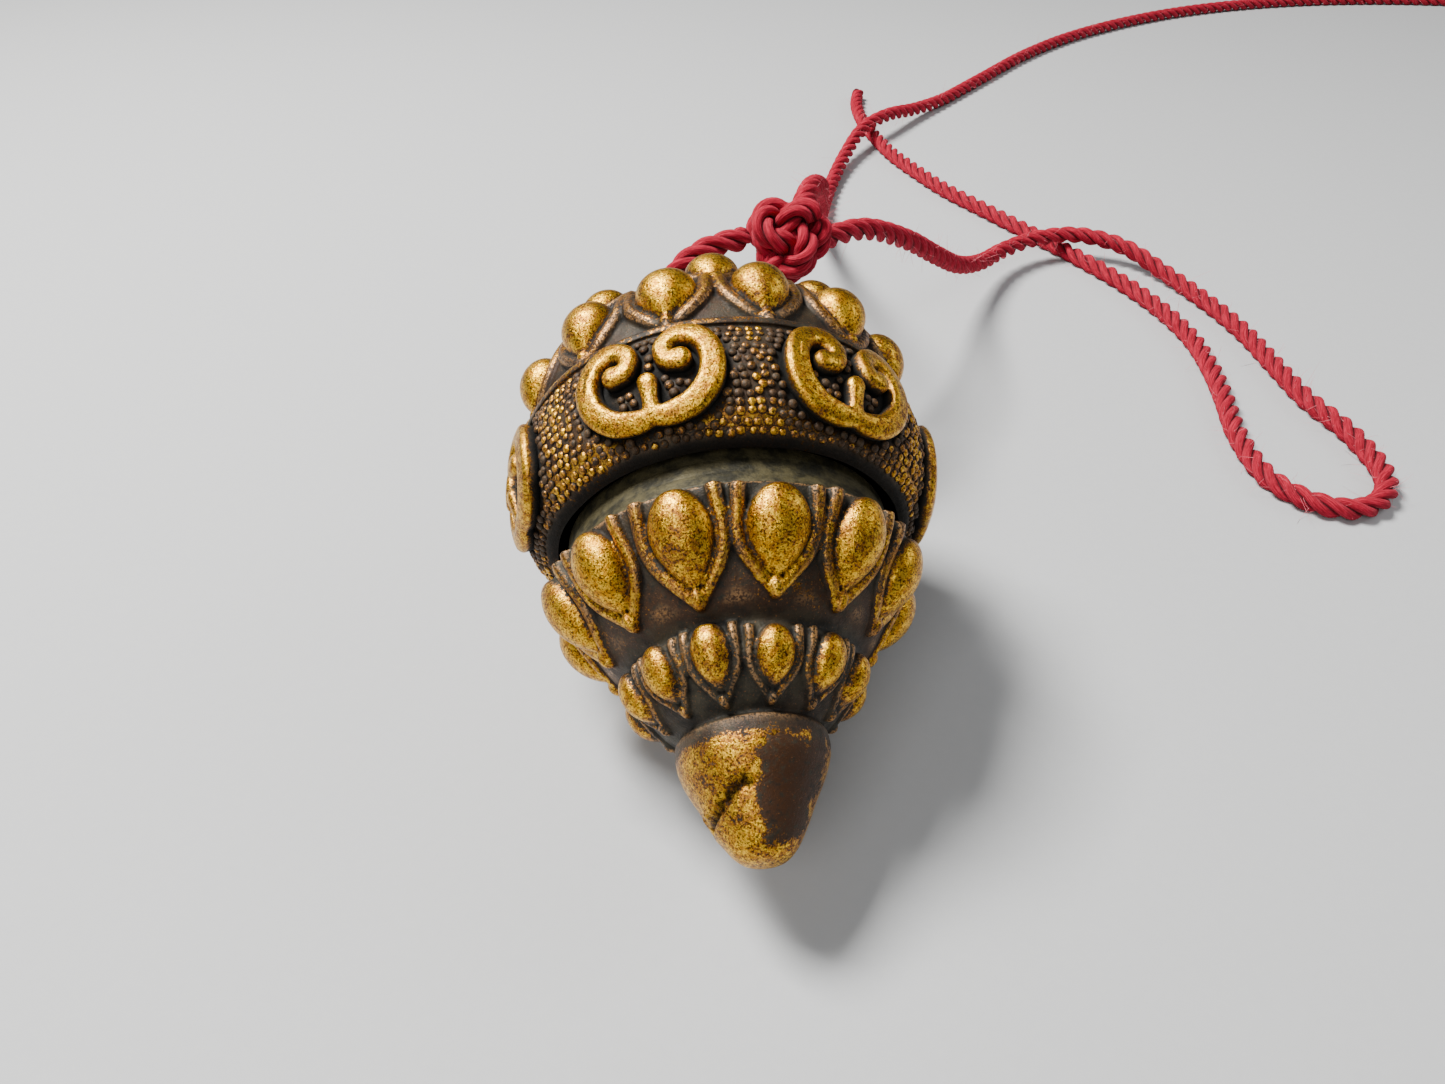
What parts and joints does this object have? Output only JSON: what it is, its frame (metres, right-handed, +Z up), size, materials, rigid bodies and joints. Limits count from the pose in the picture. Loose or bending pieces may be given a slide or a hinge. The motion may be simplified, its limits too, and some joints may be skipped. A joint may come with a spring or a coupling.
{
  "type": "pocket prayer wheel",
  "caption": "Pocket prayer wheel: crowned brass cap over a lotus-shaped body that spins on an eye pin, with a scroll inside and a knotted hanging cord.",
  "frame": {"origin": "centre of the footprint of the wheel as it lies, on the table, cord left out", "axes": "+Z up from the table, +Y along the wheel from its tip to its crown, +X to the right seen from the tip"},
  "size_m": [0.197, 0.1942, 0.029],
  "materials": {
    "cast_brass": "antiqued cast brass, dark patina with worn gold high spots",
    "neck_brass": "turned brass under a green-black patina",
    "drawn_brass": "tarnished drawn brass",
    "bush_bronze": "bearing bronze, oiled",
    "steel": "spring steel, satin",
    "core_wood": "plain turned wood",
    "scroll_paper": "rolled paper, aged",
    "wrap_cloth": "saffron cloth, woven",
    "tie_thread": "red cotton thread",
    "packing_felt": "undyed felt",
    "red_cord": "crimson twisted cotton, slightly fuzzy"
  },
  "bodies": {
    "cap": {"cap_shell": "cast_brass", "eye_pin": "drawn_brass", "crown_washer": "drawn_brass", "upper_thrust_washer": "steel", "lower_thrust_washer": "steel", "retaining_clip": "steel", "cord_loop": "red_cord", "cord_knot": "red_cord", "cord_long_tail": "red_cord", "cord_short_tail": "red_cord"},
    "lotus_body": {"lotus_shell": "cast_brass", "neck_plate": "neck_brass", "upper_bush": "bush_bronze", "lower_bush": "bush_bronze", "scroll_core": "core_wood", "prayer_scroll": "scroll_paper", "scroll_cloth": "wrap_cloth", "scroll_ties": "tie_thread", "packing_ring": "packing_felt"}
  },
  "joints": [
    {"name": "wheel_spin", "type": "hinge", "parent": "cap", "child": "lotus_body", "pos_m": [0, -0.0006, 0.01268], "axis": [0, 0.9593, 0.2823], "continuous": true}
  ]
}
